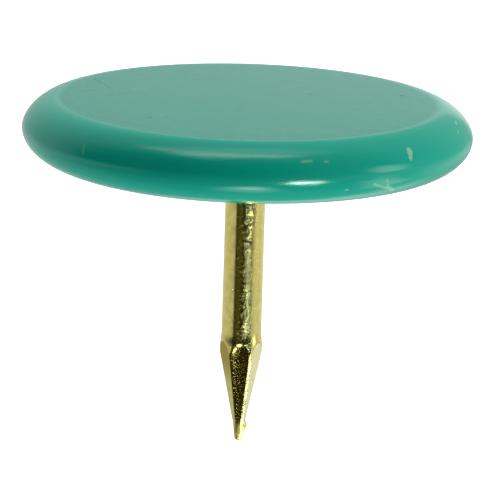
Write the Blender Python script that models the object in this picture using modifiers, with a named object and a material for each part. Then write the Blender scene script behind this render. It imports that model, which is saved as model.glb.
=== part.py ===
"""A thumb tack: a disc-shaped moulded plastic head set on a brass-plated steel pin.

Metres, +Z up. The origin is on the pin's axis, in the plane of the head's underside, where the head
seats on a board. The head rises from that plane and the pin points straight down from it.

The pin is one length of wire. Its top is upset into a flat anchor, its sides carry the notches of the
toothed dies that gripped it for that, and two pinching dies cut and shape its six-sided point. The
head is moulded round the anchor, so the pocket inside the head follows the anchor's own outline.
"""

import math

import bmesh
import bpy

# Head
HEAD_DIAMETER = 0.0127
HEAD_THICKNESS = 0.0018
THUMB_FACE_DIAMETER = 0.01078
# How far below the thumb face the rim is widest.
RIM_CREST_DROP = 0.00084
SEAT_DIAMETER = 0.0098
# A power of 2 makes a roll an ellipse. A lower one leaves a faint edge where it meets the thumb face.
UPPER_ROLL_POWER = 1.7
LOWER_ROLL_POWER = 2.0
# The shallow recess that keeps moulding flash round the pin off the board.
RELIEF_DIAMETER = 0.0024
RELIEF_DEPTH = 0.00012
RELIEF_EDGE = 0.00006

# Pin
PIN_DIAMETER = 0.00113
PIN_REACH = 0.0081
ANCHOR_DIAMETER = 0.0026
ANCHOR_THICKNESS = 0.00045
ANCHOR_EDGE_RADIUS = 0.0001
ANCHOR_FILLET_RADIUS = 0.00014
# The plastic between the anchor and the thumb face.
ANCHOR_COVER = 0.0006
# The gap left all round the anchor and the pin inside the head.
MOULDED_FIT = 0.00003

# Grip marks, in two rows on opposite sides of the pin
GRIP_MARK_COUNT = 11
GRIP_MARK_PITCH = 0.000138
GRIP_MARK_DEPTH = 0.00002
# From the head's underside down to the first mark.
GRIP_MARK_START = 0.0002

# Point
POINT_FACETS = 6
POINT_LENGTH = 0.00243
TIP_WIDTH = 0.00025
TIP_BEVEL = 0.00005
# Near its end the point narrows more slowly, over this length and from this width.
NOSE_LENGTH = 0.00055
NOSE_WIDTH = 0.00036
# The metal that the dies push up round the top of the point.
SHOULDER_SWELL = 0.000034
SHOULDER_SWELL_LENGTH = 0.00045
SHOULDER_TOP = 0.00325
# The narrow land of flash along the two corners where the dies meet.
FLASH_WIDTH = 0.000085
FLASH_PROUD = 0.000012
# Where the dies meet, and where the toothed dies gripped, in degrees from -Y towards +X.
DIE_PARTING_ANGLE = 28.0

# Steps round the turned shapes, and points along their curves
HEAD_STEPS = 96
PIN_STEPS = 60
ROLL_POINTS = 11
EDGE_POINTS = 4
SWELL_POINTS = 6

# Turned profiles and cutters meet the axis or pass a surface by these.
MERGE_DISTANCE = 1e-7
CUTTER_MARGIN = 0.0004
# What counts as a sliver beside a cut: its length, and in degrees how far it is from flat.
SLIVER_LENGTH = 2e-6
SLIVER_ANGLE = 0.5

FACET_TURN = math.tau / POINT_FACETS

TEAL_PLASTIC = (0.003, 0.355, 0.249, 1.0)
TEAL_ROUGHNESS = 0.22
BRASS_PLATE = (0.820, 0.730, 0.235, 1.0)
BRASS_ROUGHNESS = 0.24


def clear_scene():
    for item in list(bpy.data.objects):
        bpy.data.objects.remove(item, do_unlink=True)


def new_collection(name):
    collection = bpy.data.collections.new(name)
    bpy.context.scene.collection.children.link(collection)
    return collection


def new_material(name, colour, roughness, metallic):
    material = bpy.data.materials.new(name)
    material.use_nodes = True
    shader = material.node_tree.nodes["Principled BSDF"]
    shader.inputs["Base Color"].default_value = colour
    shader.inputs["Roughness"].default_value = roughness
    shader.inputs["Metallic"].default_value = metallic
    return material


def new_object(name, bm, collection, material=None):
    mesh = bpy.data.meshes.new(name)
    bm.to_mesh(mesh)
    bm.free()
    item = bpy.data.objects.new(name, mesh)
    collection.objects.link(item)
    if material:
        mesh.materials.append(material)
    return item


def hide_cutter(item):
    item.hide_render = True
    item.display_type = "WIRE"


def turned(name, profile, steps, collection, material):
    """Turns a profile of (radius, height) points, listed down its outer side, round the Z axis."""
    bm = bmesh.new()
    points = [bm.verts.new((radius, 0.0, height)) for radius, height in profile]
    for upper, lower in zip(points, points[1:]):
        bm.edges.new((upper, lower))
    item = new_object(name, bm, collection, material)
    screw = item.modifiers.new("Turn", "SCREW")
    screw.axis = "Z"
    screw.angle = math.tau
    screw.steps = steps
    screw.render_steps = steps
    screw.use_merge_vertices = True
    screw.merge_threshold = MERGE_DISTANCE
    screw.use_smooth_shade = True
    return item


def quarter_roll(start, end, power, points):
    """A quarter turn between two (radius, height) points, level at the first and upright at the last."""
    curve = []
    for i in range(points + 1):
        angle = 0.5 * math.pi * i / points
        across = math.sin(angle) ** (2.0 / power)
        down = 1.0 - math.cos(angle) ** (2.0 / power)
        curve.append((start[0] + (end[0] - start[0]) * across, start[1] + (end[1] - start[1]) * down))
    return curve


def rim_profile():
    """From the edge of the thumb face, round the rolled rim and in to the edge of the seat."""
    crest = (0.5 * HEAD_DIAMETER, HEAD_THICKNESS - RIM_CREST_DROP)
    upper = quarter_roll((0.5 * THUMB_FACE_DIAMETER, HEAD_THICKNESS), crest, UPPER_ROLL_POWER, ROLL_POINTS)
    lower = quarter_roll((0.5 * SEAT_DIAMETER, 0.0), crest, LOWER_ROLL_POWER, ROLL_POINTS)
    return upper + lower[-2::-1]


def anchor_profile(grow):
    """The anchor and the top of the shank, down to the underside, grown outwards by a given gap."""
    top = HEAD_THICKNESS - ANCHOR_COVER + grow
    bottom = HEAD_THICKNESS - ANCHOR_COVER - ANCHOR_THICKNESS - grow
    anchor = 0.5 * ANCHOR_DIAMETER + grow
    shank = 0.5 * PIN_DIAMETER + grow
    edge = ANCHOR_EDGE_RADIUS + grow
    fillet = ANCHOR_FILLET_RADIUS - grow
    upper_edge = quarter_roll((anchor - edge, top), (anchor, top - edge), 2.0, EDGE_POINTS)
    lower_edge = quarter_roll((anchor - edge, bottom), (anchor, bottom + edge), 2.0, EDGE_POINTS)
    neck = quarter_roll((shank + fillet, bottom), (shank, bottom - fillet), 2.0, EDGE_POINTS)
    return [(0.0, top)] + upper_edge + lower_edge[::-1] + neck


def make_moulded_head(collection, material):
    """The disc: flat thumb face, rolled rim, flat seat, relief round the pin, pocket for the anchor."""
    hole = 0.5 * PIN_DIAMETER + MOULDED_FIT
    relief = 0.5 * RELIEF_DIAMETER
    underside = [
        (relief + RELIEF_EDGE, 0.0),
        (relief, RELIEF_EDGE),
        (relief - RELIEF_EDGE, RELIEF_DEPTH),
        (hole, RELIEF_DEPTH),
    ]
    pocket = anchor_profile(MOULDED_FIT)[::-1]
    profile = [(0.0, HEAD_THICKNESS)] + rim_profile() + underside + pocket
    return turned("moulded_head", profile, HEAD_STEPS, collection, material)


def swell_profile():
    """The swelling above the point, from the plain shank down to where the dies cut it away."""
    shank = 0.5 * PIN_DIAMETER
    top = SHOULDER_TOP - PIN_REACH
    curve = []
    for i in range(SWELL_POINTS + 1):
        share = i / SWELL_POINTS
        rise = 0.5 - 0.5 * math.cos(math.pi * share)
        curve.append((shank + SHOULDER_SWELL * rise, top - SHOULDER_SWELL_LENGTH * share))
    return curve


def make_pin_blank(collection, material):
    """The wire before its point is cut: anchor, shank and swelling, and a little spare length."""
    end = -PIN_REACH - CUTTER_MARGIN
    swell = swell_profile()
    profile = anchor_profile(0.0) + swell + [(swell[-1][0], end), (0.0, end)]
    return turned("pin", profile, PIN_STEPS, collection, material)


def die_section(corner_radius, height):
    """One section of the die cavity, with the flash land at two opposite corners."""
    section = []
    half_land = 0.5 * FLASH_WIDTH
    for corner in range(POINT_FACETS):
        angle = math.radians(DIE_PARTING_ANGLE - 90.0) + FACET_TURN * corner
        out = (math.cos(angle), math.sin(angle))
        across = (-out[1], out[0])
        if corner % (POINT_FACETS // 2):
            offsets = [(corner_radius, 0.0)]
        else:
            root = corner_radius - half_land * math.tan(0.5 * FACET_TURN)
            land = corner_radius + FLASH_PROUD
            offsets = [(root, -half_land), (land, -half_land), (land, half_land), (root, half_land)]
        for along, aside in offsets:
            x = along * out[0] + aside * across[0]
            y = along * out[1] + aside * across[1]
            section.append((x, y, height))
    return section


def make_die_cavity(collection):
    """The space between the closed pinching dies, opened out above the point to clear the whole pin."""
    tip = -PIN_REACH
    corner = 0.5 * PIN_DIAMETER
    slope = (corner - 0.5 * NOSE_WIDTH) / (POINT_LENGTH - NOSE_LENGTH)
    facet_reach = (corner + SHOULDER_SWELL) / math.cos(0.5 * FACET_TURN) + CUTTER_MARGIN
    facet_top = tip + POINT_LENGTH + (facet_reach - corner) / slope
    clear = ANCHOR_DIAMETER
    sections = [
        die_section(0.5 * TIP_WIDTH - TIP_BEVEL, tip),
        die_section(0.5 * TIP_WIDTH, tip + TIP_BEVEL),
        die_section(0.5 * NOSE_WIDTH, tip + NOSE_LENGTH),
        die_section(facet_reach, facet_top),
        die_section(clear, facet_top + CUTTER_MARGIN),
        die_section(clear, HEAD_THICKNESS),
    ]
    bm = bmesh.new()
    rings = [[bm.verts.new(point) for point in section] for section in sections]
    count = len(rings[0])
    for lower, upper in zip(rings, rings[1:]):
        for i in range(count):
            j = (i + 1) % count
            bm.faces.new((lower[i], lower[j], upper[j], upper[i]))
    bm.faces.new(rings[0][::-1])
    bm.faces.new(rings[-1])
    cavity = new_object("pinch_die_cavity", bm, collection)
    hide_cutter(cavity)
    return cavity


def make_grip_die(name, turn, collection):
    """A straight comb of teeth that notches one side of the shank; turn is in degrees about Z."""
    inner = 0.5 * PIN_DIAMETER - GRIP_MARK_DEPTH
    root = 0.5 * PIN_DIAMETER + GRIP_MARK_DEPTH
    back = root + CUTTER_MARGIN
    top = -GRIP_MARK_START + 0.5 * GRIP_MARK_PITCH
    outline = [(root, top)]
    for i in range(GRIP_MARK_COUNT):
        outline.append((inner, top - (i + 0.5) * GRIP_MARK_PITCH))
        outline.append((root, top - (i + 1.0) * GRIP_MARK_PITCH))
    outline.append((back, outline[-1][1]))
    outline.append((back, top))
    angle = math.radians(turn - 90.0)
    out = (math.cos(angle), math.sin(angle))
    across = (-out[1], out[0])
    half_width = 0.5 * PIN_DIAMETER
    bm = bmesh.new()
    sides = []
    for aside in (-half_width, half_width):
        side = []
        for along, height in outline:
            x = along * out[0] + aside * across[0]
            y = along * out[1] + aside * across[1]
            side.append(bm.verts.new((x, y, height)))
        sides.append(side)
    near, far = sides
    count = len(outline)
    for i in range(count):
        j = (i + 1) % count
        bm.faces.new((near[i], near[j], far[j], far[i]))
    bm.faces.new(near[::-1])
    bm.faces.new(far)
    bmesh.ops.recalc_face_normals(bm, faces=bm.faces[:])
    die = new_object(name, bm, collection)
    hide_cutter(die)
    return die


def add_boolean(item, cutter, operation):
    boolean = item.modifiers.new(cutter.name, "BOOLEAN")
    boolean.operation = operation
    boolean.solver = "EXACT"
    boolean.object = cutter


def tidy_cuts(item):
    """Takes out the slivers that cuts leave where they pass close to an edge."""
    weld = item.modifiers.new("Weld", "WELD")
    weld.merge_threshold = SLIVER_LENGTH
    flats = item.modifiers.new("Flats", "DECIMATE")
    flats.decimate_type = "DISSOLVE"
    flats.angle_limit = math.radians(SLIVER_ANGLE)


def make_pin(collection, cutters, material):
    pin = make_pin_blank(collection, material)
    add_boolean(pin, make_grip_die("grip_die_front", DIE_PARTING_ANGLE, cutters), "DIFFERENCE")
    add_boolean(pin, make_grip_die("grip_die_back", DIE_PARTING_ANGLE + 180.0, cutters), "DIFFERENCE")
    add_boolean(pin, make_die_cavity(cutters), "INTERSECT")
    tidy_cuts(pin)
    return pin


def main():
    clear_scene()
    parts = new_collection("Thumb tack")
    cutters = new_collection("Thumb tack dies")
    plastic = new_material("Teal plastic", TEAL_PLASTIC, TEAL_ROUGHNESS, 0.0)
    plating = new_material("Brass plating", BRASS_PLATE, BRASS_ROUGHNESS, 1.0)
    make_moulded_head(parts, plastic)
    make_pin(parts, cutters, plating)


main()
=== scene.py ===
"""Looks of a thumb tack: a moulded teal plastic head on a brass-plated steel pin with a pinch-cut point.

Metres, +Z up. The origin is on the pin's axis in the plane of the head's underside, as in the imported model.
Places round the axis are given as azimuths in degrees, from -Y, the side that faces the camera, towards +X.
"""
import math
import random

import bpy
import numpy as np
from mathutils import Matrix, Vector


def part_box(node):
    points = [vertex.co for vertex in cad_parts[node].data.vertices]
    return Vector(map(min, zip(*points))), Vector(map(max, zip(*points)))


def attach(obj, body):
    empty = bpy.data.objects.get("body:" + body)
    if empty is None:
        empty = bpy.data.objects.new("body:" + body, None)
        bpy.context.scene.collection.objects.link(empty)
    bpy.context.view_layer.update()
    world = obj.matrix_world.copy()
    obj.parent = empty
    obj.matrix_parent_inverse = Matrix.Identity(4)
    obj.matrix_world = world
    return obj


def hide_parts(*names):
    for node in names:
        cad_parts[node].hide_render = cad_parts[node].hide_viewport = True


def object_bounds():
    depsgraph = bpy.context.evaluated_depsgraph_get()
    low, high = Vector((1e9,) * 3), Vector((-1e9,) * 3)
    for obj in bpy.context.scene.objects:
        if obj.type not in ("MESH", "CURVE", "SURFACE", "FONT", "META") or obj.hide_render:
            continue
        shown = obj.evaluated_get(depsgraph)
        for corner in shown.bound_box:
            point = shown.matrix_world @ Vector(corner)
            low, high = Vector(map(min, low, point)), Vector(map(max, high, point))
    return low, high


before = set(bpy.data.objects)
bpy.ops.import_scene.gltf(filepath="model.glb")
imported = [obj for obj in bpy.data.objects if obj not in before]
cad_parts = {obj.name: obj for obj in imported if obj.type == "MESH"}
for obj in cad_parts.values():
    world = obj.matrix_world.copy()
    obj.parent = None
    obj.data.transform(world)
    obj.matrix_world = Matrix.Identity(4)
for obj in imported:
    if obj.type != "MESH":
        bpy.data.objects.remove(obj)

cad_low, cad_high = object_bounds()


# The moulded head is one shot of teal plastic, turned all round: a flat thumb face with the satin of a
# worn tool, a glossy rolled rim and a flat seat. It is moulded straight onto the upset end of the pin, so
# inside it has a pocket in the shape of that anchor, and round the pin a shallow relief for the flash.

HEAD_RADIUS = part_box("moulded_head")[1].x
HEAD_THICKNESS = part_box("moulded_head")[1].z
FACE_RADIUS = 0.00539
# The thumb face is higher in the middle than at its edge by its crown, and rolls off close to its edge.
FACE_CROWN, FACE_ROLL_OFF = 0.000075, 0.000010
CREST_HEIGHT = 0.00096
UPPER_ROLL_POWER, LOWER_ROLL_POWER = 1.7, 2.0
SEAT_RADIUS = 0.0049
HEAD_STEPS = 400
WELD_DISTANCE = 1e-7
# Sizes under the names that the head's tree gives them.
HEAD_SIZES = {
    "Head Radius": HEAD_RADIUS, "Thickness": HEAD_THICKNESS, "Face Radius": FACE_RADIUS,
    "Face Crown": FACE_CROWN, "Face Roll Off": FACE_ROLL_OFF, "Face Roll Power": 24.0,
    "Crest Height": CREST_HEIGHT, "Upper Roll Power": UPPER_ROLL_POWER, "Lower Roll Power": LOWER_ROLL_POWER,
    "Seat Radius": SEAT_RADIUS, "Relief Outer Radius": 0.00126, "Relief Inner Radius": 0.00114,
    "Relief Depth": 0.00012, "Hole Radius": 0.000567, "Hole Edge": 0.00003, "Pocket Radius": 0.00133,
    "Pocket Floor": 0.00072, "Pocket Roof": 0.00123}


def add_node(tree, kind, inputs=(), **settings):
    """Adds a node. Each input, by its socket's name or number, is a value or another node's output."""
    made = tree.nodes.new(kind)
    for name, value in settings.items():
        setattr(made, name, value)
    for key, value in dict(inputs).items():
        if isinstance(value, bpy.types.NodeSocket):
            tree.links.new(value, made.inputs[key])
        else:
            made.inputs[key].default_value = value
    return made


def maths(tree, operation, *values, clamp=False):
    made = add_node(tree, "ShaderNodeMath", enumerate(values), operation=operation, use_clamp=clamp)
    return made.outputs[0]


def vector_maths(tree, operation, *values):
    made = add_node(tree, "ShaderNodeVectorMath", enumerate(values), operation=operation)
    return made.outputs["Value" if operation in ("DOT_PRODUCT", "LENGTH", "DISTANCE") else "Vector"]


def scaled(tree, vector, factor):
    made = add_node(tree, "ShaderNodeVectorMath", {"Vector": vector, "Scale": factor}, operation="SCALE")
    return made.outputs[0]


def product(tree, first, *others):
    for other in others:
        first = maths(tree, "MULTIPLY", first, other)
    return first


def left_over(tree, share):
    """What a share leaves of 1."""
    return maths(tree, "SUBTRACT", 1.0, share)


def component(tree, vector, axis):
    """The X, Y or Z of a vector."""
    return add_node(tree, "ShaderNodeSeparateXYZ", {0: vector}).outputs[axis]


def combined(tree, **parts):
    """A vector from its X, Y and Z. One that isn't given is 0."""
    return add_node(tree, "ShaderNodeCombineXYZ", parts).outputs[0]


def level_part(tree, vector):
    """A vector without its height."""
    return vector_maths(tree, "MULTIPLY", vector, (1.0, 1.0, 0.0))


def switched(tree, choice, when_true, when_false):
    made = add_node(tree, "GeometryNodeSwitch", {"Switch": choice, "True": when_true, "False": when_false},
                    input_type="FLOAT")
    return made.outputs[0]


def moved(tree, geometry, **change):
    """Moves points to a Position or by an Offset."""
    return add_node(tree, "GeometryNodeSetPosition", {"Geometry": geometry, **change}).outputs[0]


def new_group(name, kind, inputs, outputs):
    """A node tree with named sockets. Inputs and outputs are pairs of a name and a kind of socket."""
    group = bpy.data.node_groups.new(name, kind)
    for socket, form in inputs:
        group.interface.new_socket(socket, in_out="INPUT", socket_type="NodeSocket" + form)
    for socket, form in outputs:
        group.interface.new_socket(socket, in_out="OUTPUT", socket_type="NodeSocket" + form)
    return group, group.nodes.new("NodeGroupInput").outputs, group.nodes.new("NodeGroupOutput").inputs


def float_sockets(*names):
    return [(name, "Float") for name in names]


def piece_tree(name, count, sizes):
    """A tree that makes one piece, with a named input for a count and for each of its sizes."""
    inputs = [("Geometry", "Geometry"), ("Material", "Material"), (count, "Int")] + float_sockets(*sizes)
    return new_group(name, "GeometryNodeTree", inputs, [("Geometry", "Geometry")])


def turned_band_group():
    """Turns one stretch of a profile about Z. Power 1 is a straight stretch, 2 a quarter of an ellipse."""
    sizes = float_sockets("Start Radius", "Start Height", "End Radius", "End Height", "Power")
    shape = [("Upright Start", "Bool"), ("Rows", "Int"), ("Steps", "Int")]
    group, given, result = new_group("Turned band", "GeometryNodeTree", sizes + shape, [("Band", "Geometry")])
    grid = add_node(group, "GeometryNodeMeshGrid", {
        "Size X": 1.0, "Size Y": 1.0,
        "Vertices X": maths(group, "ADD", given["Rows"], 1.0),
        "Vertices Y": maths(group, "ADD", given["Steps"], 1.0)})
    flat = add_node(group, "GeometryNodeInputPosition").outputs[0]
    quarter = product(group, maths(group, "ADD", component(group, flat, "X"), 0.5), 0.5 * math.pi)
    turn = product(group, maths(group, "ADD", component(group, flat, "Y"), 0.5), math.tau)
    exponent = maths(group, "DIVIDE", 2.0, given["Power"])
    rising = maths(group, "POWER", maths(group, "SINE", quarter), exponent)
    falling = left_over(group, maths(group, "POWER", maths(group, "COSINE", quarter), exponent))
    across = switched(group, given["Upright Start"], falling, rising)
    down = switched(group, given["Upright Start"], rising, falling)
    widening = maths(group, "SUBTRACT", given["End Radius"], given["Start Radius"])
    climb = maths(group, "SUBTRACT", given["End Height"], given["Start Height"])
    radius = maths(group, "MULTIPLY_ADD", widening, across, given["Start Radius"])
    place = combined(group, X=product(group, radius, maths(group, "COSINE", turn)),
                     Y=product(group, radius, maths(group, "SINE", turn)),
                     Z=maths(group, "MULTIPLY_ADD", climb, down, given["Start Height"]))
    group.links.new(moved(group, grid.outputs["Mesh"], Position=place), result["Band"])
    return group


def finish_tree(tree, geometry, result):
    """Ends a tree: weld the seams, shade smooth, realise and set the material."""
    material = tree.nodes["Group Input"].outputs["Material"]
    steps = [("MergeByDistance", {"Distance": WELD_DISTANCE}), ("SetShadeSmooth", {"Shade Smooth": True}),
             ("RealizeInstances", {}), ("SetMaterial", {"Material": material})]
    for kind, inputs in steps:
        geometry = add_node(tree, "GeometryNode" + kind, {"Geometry": geometry, **inputs}).outputs[0]
    tree.links.new(geometry, result["Geometry"])


def moulded_head_tree():
    """The head's whole profile, in bands, from the middle of the thumb face round to the pocket's roof."""
    tree, given, result = piece_tree("Moulded head", "Steps", HEAD_SIZES)
    hole_mouth = maths(tree, "ADD", given["Hole Radius"], given["Hole Edge"])
    hole_top = maths(tree, "ADD", given["Relief Depth"], given["Hole Edge"])
    # Each stop: radius, height, power, whether the band starts upright, rows.
    stops = [
        (given["Face Radius"], given["Thickness"], 1.0, False, 24),
        (given["Head Radius"], given["Crest Height"], given["Upper Roll Power"], False, 44),
        (given["Seat Radius"], 0.0, given["Lower Roll Power"], True, 44),
        (given["Relief Outer Radius"], 0.0, 1.0, False, 10),
        (given["Relief Inner Radius"], given["Relief Depth"], 1.0, False, 2),
        (hole_mouth, given["Relief Depth"], 1.0, False, 3),
        (given["Hole Radius"], hole_top, 2.0, False, 4),
        (given["Hole Radius"], given["Pocket Floor"], 1.0, False, 2),
        (given["Pocket Radius"], given["Pocket Floor"], 1.0, False, 2),
        (given["Pocket Radius"], given["Pocket Roof"], 1.0, False, 2),
        (0.0, given["Pocket Roof"], 1.0, False, 2),
    ]
    band_group = turned_band_group()
    join = tree.nodes.new("GeometryNodeJoinGeometry")
    radius, height = 0.0, given["Thickness"]
    for end_radius, end_height, power, upright, rows in stops:
        band = add_node(tree, "GeometryNodeGroup", {
            "Start Radius": radius, "Start Height": height, "End Radius": end_radius,
            "End Height": end_height, "Power": power, "Upright Start": upright, "Rows": rows,
            "Steps": given["Steps"]}, node_tree=band_group)
        tree.links.new(band.outputs[0], join.inputs[0])
        radius, height = end_radius, end_height
    place = add_node(tree, "GeometryNodeInputPosition").outputs[0]
    reach = vector_maths(tree, "LENGTH", level_part(tree, place))
    share = maths(tree, "DIVIDE", reach, given["Face Radius"])
    fall = left_over(tree, maths(tree, "POWER", share, 2.0))
    edge_fall = left_over(tree, maths(tree, "POWER", share, given["Face Roll Power"]))
    rise = product(tree, given["Face Crown"], fall)
    rise = maths(tree, "MULTIPLY_ADD", given["Face Roll Off"], edge_fall, rise)
    top = maths(tree, "SUBTRACT", given["Thickness"], WELD_DISTANCE)
    on_face = maths(tree, "GREATER_THAN", component(tree, place, "Z"), top)
    lift = combined(tree, Z=product(tree, maths(tree, "MAXIMUM", rise, 0.0), on_face))
    finish_tree(tree, moved(tree, join.outputs[0], Offset=lift), result)
    return tree


def placed(name, data):
    item = bpy.data.objects.new(name, data)
    bpy.context.scene.collection.objects.link(item)
    return item


def grown_object(name, tree, values, base=None):
    """Runs a tree on an object with the given inputs and keeps what it makes as a plain mesh."""
    item = placed(name, base or bpy.data.meshes.new(name))
    grown = item.modifiers.new(tree.name, "NODES")
    grown.node_group = tree
    sockets = {s.name: s.identifier for s in tree.interface.items_tree if s.in_out == "INPUT"}
    for key, value in values.items():
        grown[sockets[key]] = value
    depsgraph = bpy.context.evaluated_depsgraph_get()
    mesh = bpy.data.meshes.new_from_object(item.evaluated_get(depsgraph), depsgraph=depsgraph)
    # The grids that a tree starts from bring an empty material slot along.
    mesh.materials.clear()
    mesh.materials.append(values["Material"])
    mesh.polygons.foreach_set("material_index", np.zeros(len(mesh.polygons), dtype=np.int32))
    item.modifiers.clear()
    item.data = mesh
    mesh.name = name
    return item


def noise(tree, place, scale, detail, roughness=0.5):
    made = add_node(tree, "ShaderNodeTexNoise", {"Vector": place, "Scale": scale, "Detail": detail,
                                                 "Roughness": roughness})
    return made.outputs[0]


GRAIN_DETAIL, GRAIN_ROUGHNESS = 3.0, 0.6
# Patches lie over the grain on a broader scale, and fade in between two values.
PATCH_SCALE, PATCH_DETAIL, PATCH_LOW, PATCH_HIGH = 0.13, 2.0, 0.35, 0.65


def grain_group():
    """Fine uneven grain. Puts out a height and a mask, each from 0 to 1."""
    group, given, result = new_group("Fine grain", "ShaderNodeTree", [("Place", "Vector"), ("Size", "Float"),
                                     ("Stretch", "Vector")], [("Height", "Float"), ("Patches", "Float")])
    stretched = vector_maths(group, "MULTIPLY", given["Place"], given["Stretch"])
    scale = maths(group, "DIVIDE", 1.0, given["Size"])
    fine = noise(group, stretched, scale, GRAIN_DETAIL, GRAIN_ROUGHNESS)
    broad = noise(group, stretched, product(group, scale, PATCH_SCALE), PATCH_DETAIL)
    patches = add_node(group, "ShaderNodeMapRange", {"Value": broad, "From Min": PATCH_LOW,
                                                     "From Max": PATCH_HIGH})
    group.links.new(fine, result["Height"])
    group.links.new(patches.outputs[0], result["Patches"])
    return group


def stroke_group():
    """How far a place is from a straight stroke. 1 is its half width, which changes from end to end."""
    group, given, result = new_group("Stroke", "ShaderNodeTree", [("Place", "Vector"), ("From", "Vector"),
                                     ("To", "Vector"), ("Start Width", "Float"), ("End Width", "Float")],
                                     [("Distance", "Float")])
    run = vector_maths(group, "SUBTRACT", given["To"], given["From"])
    offset = vector_maths(group, "SUBTRACT", given["Place"], given["From"])
    share = maths(group, "DIVIDE", vector_maths(group, "DOT_PRODUCT", offset, run),
                  vector_maths(group, "DOT_PRODUCT", run, run), clamp=True)
    nearest = scaled(group, run, share)
    aside = vector_maths(group, "DISTANCE", offset, nearest)
    half_width = mix_value(group, share, given["Start Width"], given["End Width"])
    group.links.new(maths(group, "DIVIDE", aside, half_width), result["Distance"])
    return group


def speck_group():
    """Scattered round specks. Spacing and Size are lengths. Share is the part of the places with one."""
    group, given, result = new_group("Specks", "ShaderNodeTree", [("Place", "Vector"), ("Spacing", "Float"),
                                     ("Size", "Float"), ("Share", "Float")], [("Mask", "Float")])
    cells = add_node(group, "ShaderNodeTexVoronoi", {"Vector": given["Place"],
                                                     "Scale": maths(group, "DIVIDE", 1.0, given["Spacing"])})
    reach = maths(group, "DIVIDE", given["Size"], given["Spacing"])
    near = add_node(group, "ShaderNodeMapRange", {"Value": cells.outputs["Distance"], "From Min": reach,
                                                  "From Max": product(group, reach, 0.5)})
    kept = maths(group, "LESS_THAN", component(group, cells.outputs["Color"], "X"), given["Share"])
    group.links.new(product(group, near.outputs[0], kept), result["Mask"])
    return group


def effect(tree, group, inputs):
    return add_node(tree, "ShaderNodeGroup", inputs, node_tree=group).outputs


def mix_colour(tree, share, first, second):
    return add_node(tree, "ShaderNodeMix", {0: share, 6: first, 7: second}, data_type="RGBA").outputs[2]


def mix_value(tree, share, first, second):
    return add_node(tree, "ShaderNodeMix", {0: share, 2: first, 3: second}, data_type="FLOAT").outputs[0]


def grain_at(tree, place, size, stretch):
    return effect(tree, fine_grain, {"Place": place, "Size": size, "Stretch": stretch})


def specks_at(tree, place, spacing, size, share):
    return effect(tree, specks, {"Place": place, "Spacing": spacing, "Size": size, "Share": share})["Mask"]


def smooth_step(tree, value, low, high):
    made = add_node(tree, "ShaderNodeMapRange", {"Value": value, "From Min": low, "From Max": high},
                    interpolation_type="SMOOTHSTEP")
    return made.outputs[0]


fine_grain = grain_group()
stroke = stroke_group()
specks = speck_group()

TEAL = (0.003, 0.355, 0.249, 1.0)
SCUFFED_TEAL = (0.030, 0.285, 0.212, 1.0)
STRESSED_TEAL = (0.330, 0.600, 0.400, 1.0)
DARK_SPECK = (0.010, 0.090, 0.060, 1.0)
PLASTIC_SPECULAR = 0.30
RIM_ROUGHNESS, FACE_ROUGHNESS = 0.13, 0.27
CLOUD_ROUGHNESS, KNOCK_ROUGHNESS = 0.05, 0.25

# Places in the materials are in millimetres from here on, and heights of bumps in micrometres.
MM, MICRON = 0.001, 0.000001
# The satin of the thumb face fades out past its edge, between two radii and two heights from the edge.
SATIN_OUTER, SATIN_INNER, SATIN_LOW, SATIN_HIGH = 0.08, -0.20, -0.06, -0.01
# Each grain has a size and how it is drawn out along the axes. Turning lines run round the rim.
SCUFF_GRAIN = (0.060, (1.0, 1.0, 1.0))
CLOUD_GRAIN = (0.30, (1.0, 0.7, 1.0))
TURNING_GRAIN = (0.08, (0.05, 0.05, 1.0))
# How far the scuffs follow the grain and the cloud, and what they start from.
SCUFF_BY_GRAIN, SCUFF_BY_CLOUD, SCUFF_START = 4.0, 1.2, -1.9
# Bumps: grain all over, more of it on the face, the cloud, the turning lines and the knocks.
GRAIN_HEIGHT, FACE_GRAIN_HEIGHT, CLOUD_HEIGHT, TURNING_HEIGHT, KNOCK_HEIGHT = 0.25, 2.2, 1.5, 6.0, -10.0
# Dust specks: spacing, size and the part of the places with one, then how plain they are.
DUST, DUST_SHARE = (0.7, 0.030, 0.25), 0.25
# Steps in a mark's ragged edge in a millimetre, and their reach as a share of its half width.
RAGGED_SCALE, RAGGED_DETAIL, RAGGED_REACH = 16.0, 2.0, 1.2
# Knocks and scratches on the rim: azimuth and height of each end, half width at each end, how plain it is.
RIM_MARKS = [
    ((46.3, 1.420), (45.5, 1.240), 0.130, 0.080, 0.62),
    ((-45.5, 1.320), (-44.7, 1.130), 0.050, 0.050, 0.16),
    ((14.1, 1.390), (16.4, 1.405), 0.055, 0.065, 0.28),
    ((20.1, 1.372), (20.8, 1.370), 0.045, 0.045, 0.22),
    ((33.7, 0.660), (38.6, 0.490), 0.055, 0.080, 0.38),
    ((37.2, 0.770), (38.8, 0.490), 0.050, 0.070, 0.28),
    ((38.4, 0.500), (41.8, 0.350), 0.095, 0.070, 0.52),
    ((25.9, 0.560), (26.4, 0.570), 0.050, 0.040, 0.45),
    ((79.2, 1.620), (77.4, 1.575), 0.050, 0.040, 0.60),
    ((73.9, 1.460), (72.0, 1.420), 0.040, 0.030, 0.35),
]
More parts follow.
